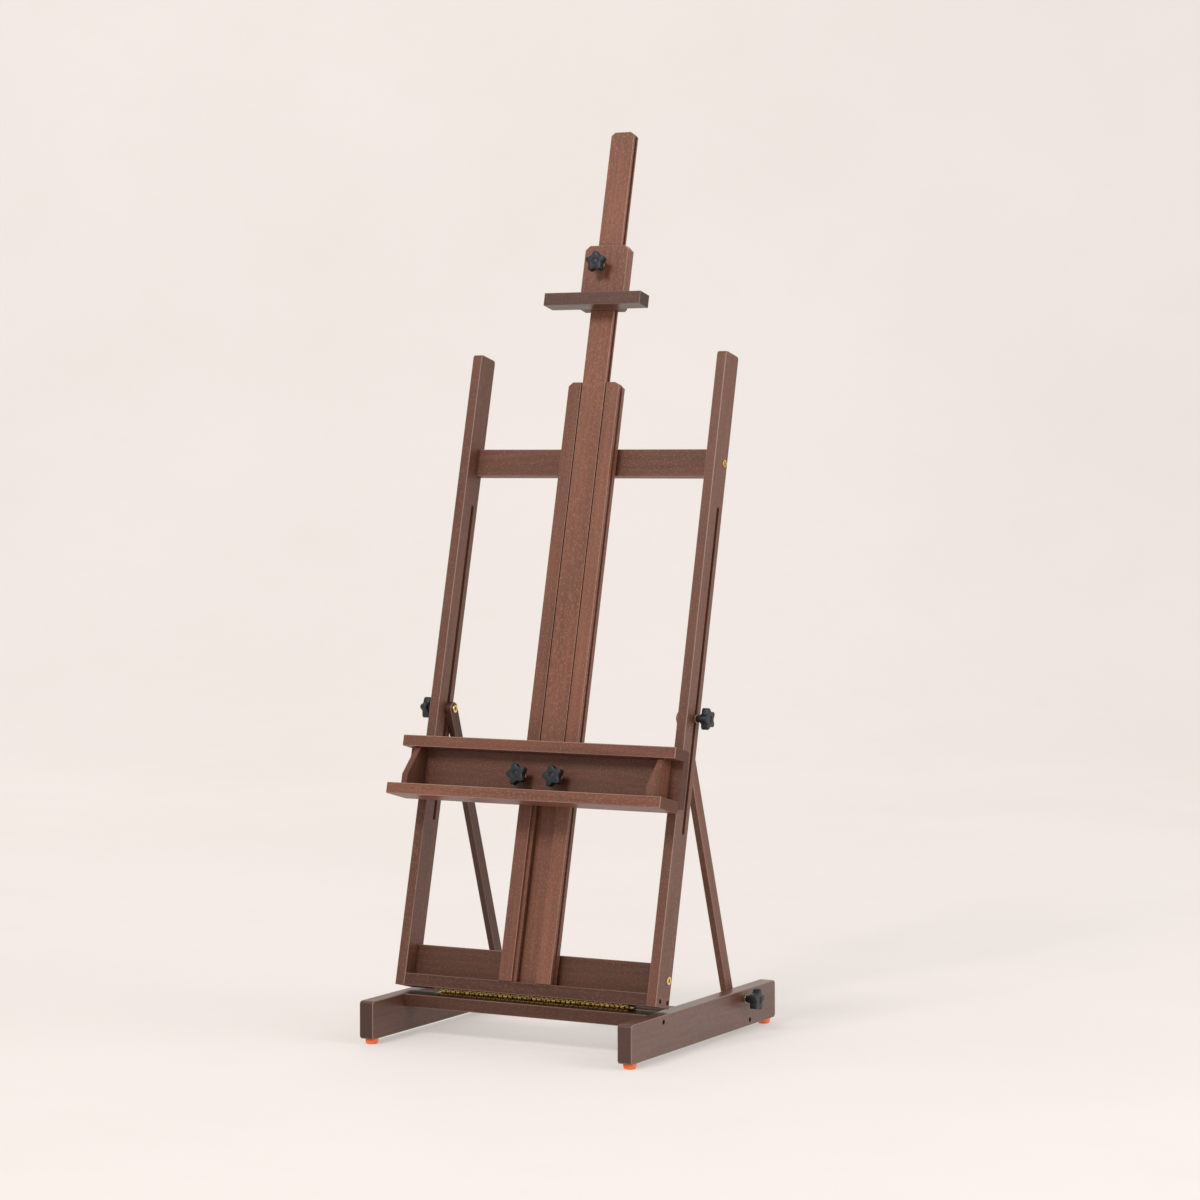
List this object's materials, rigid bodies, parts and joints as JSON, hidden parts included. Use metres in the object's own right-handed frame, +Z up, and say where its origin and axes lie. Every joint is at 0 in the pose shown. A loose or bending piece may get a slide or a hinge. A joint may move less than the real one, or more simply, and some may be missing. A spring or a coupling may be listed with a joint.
{
  "type": "artist easel",
  "caption": "Studio artist easel with a low floor base, tilting slotted frame, sliding canvas tray, sliding mast with upper canvas clamp and star knobs.",
  "frame": {"origin": "on the floor, under the middle of the base", "axes": "+X to the viewer's right, +Y from the viewer to the back, +Z up; the tray faces -Y"},
  "size_m": [0.6288, 0.572, 1.6993],
  "materials": {
    "stained_beech": "satin",
    "brass": "polished",
    "black_plastic": "satin",
    "dark_steel": "black oxide",
    "orange_rubber": "matte"
  },
  "bodies": {
    "base": {"runner_left": "stained_beech", "runner_right": "stained_beech", "front_plank": "stained_beech", "rear_bar": "stained_beech", "rubber_feet": "orange_rubber", "base_screws": "dark_steel", "hinge_leaf_lower": "brass", "hinge_screws_lower": "brass", "hinge_pin": "brass", "stay_foot_bolt_left": "brass", "stay_foot_bolt_right": "brass"},
    "h_frame": {"upright_left": "stained_beech", "upright_right": "stained_beech", "top_rail": "stained_beech", "bottom_board": "stained_beech", "foot_rail": "stained_beech", "column_strip_left": "stained_beech", "column_strip_right": "stained_beech", "column_back": "stained_beech", "hinge_leaf_upper": "brass", "hinge_screws_upper": "brass", "frame_bolts": "brass", "frame_screws": "dark_steel"},
    "stay_left_body": {"stay_left": "stained_beech", "stay_head_bolt_left": "brass"},
    "stay_right_body": {"stay_right": "stained_beech", "stay_head_bolt_right": "brass"},
    "tray": {"canvas_ledge": "stained_beech", "tray_shelf": "stained_beech", "tray_back_board": "stained_beech", "tray_bracket_left": "stained_beech", "tray_bracket_right": "stained_beech", "tray_guide_left": "stained_beech", "tray_guide_right": "stained_beech"},
    "mast_body": {"mast": "stained_beech"},
    "clamp": {"clamp_block": "stained_beech", "clamp_bar": "stained_beech"},
    "tray_knob_left_body": {"tray_knob_left": "black_plastic", "tray_knob_stud_left": "dark_steel"},
    "tray_knob_right_body": {"tray_knob_right": "black_plastic", "tray_knob_stud_right": "dark_steel"},
    "clamp_knob_body": {"clamp_knob": "black_plastic", "clamp_knob_stud": "dark_steel"},
    "mast_lock_body": {"mast_lock_knob": "black_plastic", "mast_lock_stud": "dark_steel"},
    "stay_head_knob_left_body": {"stay_head_knob_left": "black_plastic"},
    "stay_head_knob_right_body": {"stay_head_knob_right": "black_plastic"},
    "stay_foot_knob_left_body": {"stay_foot_knob_left": "black_plastic"},
    "stay_foot_knob_right_body": {"stay_foot_knob_right": "black_plastic"}
  },
  "joints": [
    {"name": "frame_tilt", "type": "hinge", "parent": "base", "child": "h_frame", "pos_m": [0, -0.126, 0.0816], "axis": [-1, 0, 0], "range_deg": [-7, 7]},
    {"name": "stay_left_fold", "type": "hinge", "parent": "base", "child": "stay_left_body", "pos_m": [-0.2475, 0.16, 0.062], "axis": [-1, 0, 0], "range_deg": [-7.8, 7.8]},
    {"name": "stay_right_fold", "type": "hinge", "parent": "base", "child": "stay_right_body", "pos_m": [0.2475, 0.16, 0.062], "axis": [-1, 0, 0], "range_deg": [-7.8, 7.8]},
    {"name": "tray_slide", "type": "slide", "parent": "h_frame", "child": "tray", "axis": [0, 0.2394, 0.9709], "range_m": [-0.3, 0.6]},
    {"name": "mast_slide", "type": "slide", "parent": "h_frame", "child": "mast_body", "axis": [0, 0.2394, 0.9709], "range_m": [-0.06, 0.4]},
    {"name": "clamp_slide", "type": "slide", "parent": "mast_body", "child": "clamp", "axis": [0, 0.2394, 0.9709], "range_m": [-0.07, 0.22]},
    {"name": "tray_knob_left_turn", "type": "hinge", "parent": "tray", "child": "tray_knob_left_body", "pos_m": [-0.0385, -0.10859, 0.48681], "axis": [0, -0.9709, 0.2394], "continuous": true},
    {"name": "tray_knob_right_turn", "type": "hinge", "parent": "tray", "child": "tray_knob_right_body", "pos_m": [0.0385, -0.10859, 0.48681], "axis": [0, -0.9709, 0.2394], "continuous": true},
    {"name": "clamp_knob_turn", "type": "hinge", "parent": "clamp", "child": "clamp_knob_body", "pos_m": [-0.0055, 0.13776, 1.44006], "axis": [0, -0.9709, 0.2394], "continuous": true},
    {"name": "mast_lock_turn", "type": "hinge", "parent": "h_frame", "child": "mast_lock_body", "pos_m": [0, 0.11327, 1.1469], "axis": [0, 0.9709, -0.2394], "continuous": true},
    {"name": "stay_head_knob_left_turn", "type": "hinge", "parent": "stay_left_body", "child": "stay_head_knob_left_body", "pos_m": [-0.2754, -0.02004, 0.59784], "axis": [-1, 0, 0], "continuous": true},
    {"name": "stay_head_knob_right_turn", "type": "hinge", "parent": "stay_right_body", "child": "stay_head_knob_right_body", "pos_m": [0.2754, -0.02004, 0.59784], "axis": [1, 0, 0], "continuous": true},
    {"name": "stay_foot_knob_left_turn", "type": "hinge", "parent": "base", "child": "stay_foot_knob_left_body", "pos_m": [-0.2844, 0.16, 0.062], "axis": [-1, 0, 0], "continuous": true},
    {"name": "stay_foot_knob_right_turn", "type": "hinge", "parent": "base", "child": "stay_foot_knob_right_body", "pos_m": [0.2844, 0.16, 0.062], "axis": [1, 0, 0], "continuous": true}
  ],
  "couplings": [
    {"joint": "stay_left_fold", "follows": "frame_tilt", "ratio": 1.103},
    {"joint": "stay_right_fold", "follows": "frame_tilt", "ratio": 1.103}
  ]
}
